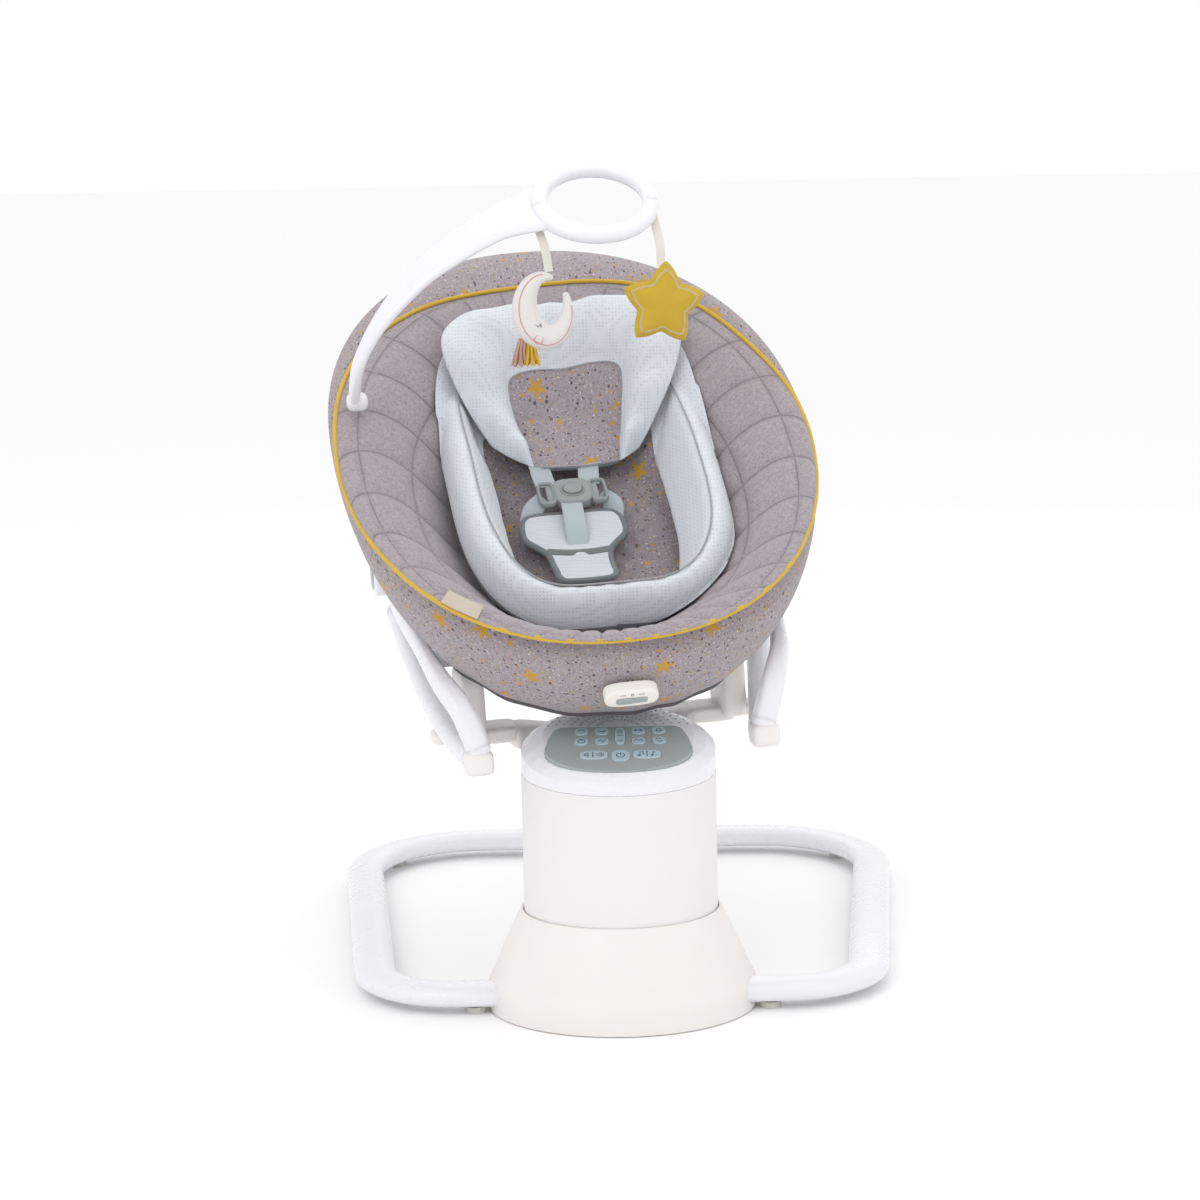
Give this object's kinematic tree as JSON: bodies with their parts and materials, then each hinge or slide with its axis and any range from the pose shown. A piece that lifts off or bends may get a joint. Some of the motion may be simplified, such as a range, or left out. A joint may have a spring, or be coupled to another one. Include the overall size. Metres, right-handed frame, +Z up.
{
  "type": "baby swing",
  "caption": "Motorised baby swing: an oval bucket seat with harness and toy bar on a lift-off rocker stand, carried by the arm of a tower on a floor ring.",
  "frame": {"origin": "on the floor, on the axis of the motor tower's oval column", "axes": "+Z up, -Y the way the tower's control panel and the swing face, +X to the right seen from the front"},
  "size_m": [0.732, 0.8364, 0.9726],
  "materials": {
    "white_plastic": "satin moulded",
    "cream_plastic": "fine matt moulded",
    "grey_plastic": "fine matt moulded",
    "key_blue": "fine matt moulded",
    "rubber": "soft matt",
    "steel": "plain metal",
    "bronze": "sintered bronze",
    "gear_nylon": "fine matt moulded",
    "motor_steel": "plain metal",
    "board_green": "fine matt moulded",
    "cell_black": "fine matt moulded",
    "quilt_fabric": "woven or knitted cloth",
    "mesh_fabric": "woven or knitted cloth",
    "pad_fabric": "woven or knitted cloth",
    "webbing": "woven or knitted cloth",
    "buckle_grey": "fine matt moulded",
    "toy_yellow": "woven or knitted cloth",
    "toy_cream": "woven or knitted cloth"
  },
  "bodies": {
    "base": {"floor_ring": "white_plastic", "front_foot_left": "rubber", "front_foot_right": "rubber", "back_foot_left": "rubber", "back_foot_right": "rubber", "base_skirt": "cream_plastic", "base_plate": "cream_plastic", "battery_door": "cream_plastic", "battery_cells": "cell_black", "power_socket": "cell_black", "column_shell": "white_plastic", "top_cap": "white_plastic", "control_panel": "grey_plastic", "circuit_board": "board_green", "speaker": "cell_black", "drive_chassis": "motor_steel", "spindle_bearing": "bronze", "swing_motor": "motor_steel"},
    "pinion": {"motor_pinion": "bronze"},
    "swing": {"swing_shaft": "steel", "swing_gear": "gear_nylon", "guide_frame": "steel"},
    "lift": {"lift_carriage": "gear_nylon", "swing_arm": "cream_plastic", "cradle_saddle_left": "cream_plastic", "cradle_saddle_right": "cream_plastic"},
    "rocker": {"runner_left": "white_plastic", "runner_right": "white_plastic", "strut_left": "white_plastic", "strut_right": "white_plastic", "hub_left": "white_plastic", "hub_right": "white_plastic", "tip_cap_left": "cream_plastic", "tip_cap_right": "cream_plastic", "cross_tube": "white_plastic"},
    "seat": {"seat_shell": "quilt_fabric", "seat_yoke": "steel", "body_support": "mesh_fabric", "head_support": "mesh_fabric", "crotch_pad": "pad_fabric", "harness_straps": "webbing", "buckle": "buckle_grey", "vibration_unit": "cream_plastic"},
    "buckle_release": {"buckle_button": "buckle_grey"},
    "vibration_slider": {"vibration_switch": "grey_plastic"},
    "toy_arch": {"toy_bar": "white_plastic"},
    "moon": {"moon_toy": "toy_cream"},
    "star": {"star_toy": "toy_yellow"},
    "motion_key_1": {"motion_button_1": "key_blue"},
    "motion_key_2": {"motion_button_2": "key_blue"},
    "motion_key_3": {"motion_button_3": "key_blue"},
    "motion_key_4": {"motion_button_4": "key_blue"},
    "motion_key_5": {"motion_button_5": "key_blue"},
    "motion_key_6": {"motion_button_6": "key_blue"},
    "motion_key_7": {"motion_button_7": "key_blue"},
    "motion_key_8": {"motion_button_8": "key_blue"},
    "speed_key": {"speed_button": "key_blue"},
    "volume_key": {"volume_button": "key_blue"},
    "power_key": {"power_button": "key_blue"},
    "music_key": {"music_button": "key_blue"}
  },
  "joints": [
    {"name": "swing_yaw", "type": "hinge", "parent": "base", "child": "swing", "pos_m": [0.008, 0.0204, 0.174], "axis": [0, -0.2588, 0.9659], "range_deg": [-28, 8]},
    {"name": "motor_spin", "type": "hinge", "parent": "base", "child": "pinion", "pos_m": [0.008, -0.0034, 0.08894], "axis": [0, -0.2588, 0.9659], "range_deg": [-36, 116]},
    {"name": "arm_lift", "type": "slide", "parent": "swing", "child": "lift", "axis": [0, -0.2588, 0.9659], "range_m": [0, 0.034]},
    {"name": "rocker_lift_off", "type": "slide", "parent": "lift", "child": "rocker", "axis": [-0.0449, -0.0038, 0.999], "range_m": [0, 0.25]},
    {"name": "seat_recline", "type": "hinge", "parent": "rocker", "child": "seat", "pos_m": [-0.04965, 0.27513, 0.48669], "axis": [0.9848, 0.1677, 0.0449], "range_deg": [-12, 0]},
    {"name": "toy_bar_swing", "type": "hinge", "parent": "seat", "child": "toy_arch", "pos_m": [-0.31278, 0.22818, 0.68691], "axis": [0.0537, -0.5401, 0.8399], "range_deg": [-90, 0]},
    {"name": "moon_swing", "type": "hinge", "parent": "toy_arch", "child": "moon", "pos_m": [-0.11171, 0.17481, 0.88593], "axis": [0.9848, 0.1677, 0.0449], "range_deg": [-25, 25]},
    {"name": "star_swing", "type": "hinge", "parent": "toy_arch", "child": "star", "pos_m": [0.05987, 0.18885, 0.90071], "axis": [0.9848, 0.1677, 0.0449], "range_deg": [-25, 25]},
    {"name": "buckle_press", "type": "slide", "parent": "seat", "child": "buckle_release", "axis": [-0.0537, 0.5401, -0.8399], "range_m": [0, 0.002], "stiffness_N_per_m": 600},
    {"name": "vibration_slide", "type": "slide", "parent": "seat", "child": "vibration_slider", "axis": [0.9848, 0.1677, 0.0449], "range_m": [0, 0.012]},
    {"name": "motion_press_1", "type": "slide", "parent": "base", "child": "motion_key_1", "axis": [0, 0.319, -0.9478], "range_m": [0, 0.001], "stiffness_N_per_m": 400},
    {"name": "motion_press_2", "type": "slide", "parent": "base", "child": "motion_key_2", "axis": [0, 0.319, -0.9478], "range_m": [0, 0.001], "stiffness_N_per_m": 400},
    {"name": "motion_press_3", "type": "slide", "parent": "base", "child": "motion_key_3", "axis": [0, 0.319, -0.9478], "range_m": [0, 0.001], "stiffness_N_per_m": 400},
    {"name": "motion_press_4", "type": "slide", "parent": "base", "child": "motion_key_4", "axis": [0, 0.319, -0.9478], "range_m": [0, 0.001], "stiffness_N_per_m": 400},
    {"name": "motion_press_5", "type": "slide", "parent": "base", "child": "motion_key_5", "axis": [0, 0.319, -0.9478], "range_m": [0, 0.001], "stiffness_N_per_m": 400},
    {"name": "motion_press_6", "type": "slide", "parent": "base", "child": "motion_key_6", "axis": [0, 0.319, -0.9478], "range_m": [0, 0.001], "stiffness_N_per_m": 400},
    {"name": "motion_press_7", "type": "slide", "parent": "base", "child": "motion_key_7", "axis": [0, 0.319, -0.9478], "range_m": [0, 0.001], "stiffness_N_per_m": 400},
    {"name": "motion_press_8", "type": "slide", "parent": "base", "child": "motion_key_8", "axis": [0, 0.319, -0.9478], "range_m": [0, 0.001], "stiffness_N_per_m": 400},
    {"name": "speed_press", "type": "slide", "parent": "base", "child": "speed_key", "axis": [0, 0.319, -0.9478], "range_m": [0, 0.001], "stiffness_N_per_m": 400},
    {"name": "volume_press", "type": "slide", "parent": "base", "child": "volume_key", "axis": [0, 0.319, -0.9478], "range_m": [0, 0.001], "stiffness_N_per_m": 400},
    {"name": "power_press", "type": "slide", "parent": "base", "child": "power_key", "axis": [0, 0.319, -0.9478], "range_m": [0, 0.001], "stiffness_N_per_m": 400},
    {"name": "music_press", "type": "slide", "parent": "base", "child": "music_key", "axis": [0, 0.319, -0.9478], "range_m": [0, 0.001], "stiffness_N_per_m": 400}
  ],
  "couplings": [
    {"joint": "motor_spin", "follows": "swing_yaw", "ratio": -4}
  ]
}
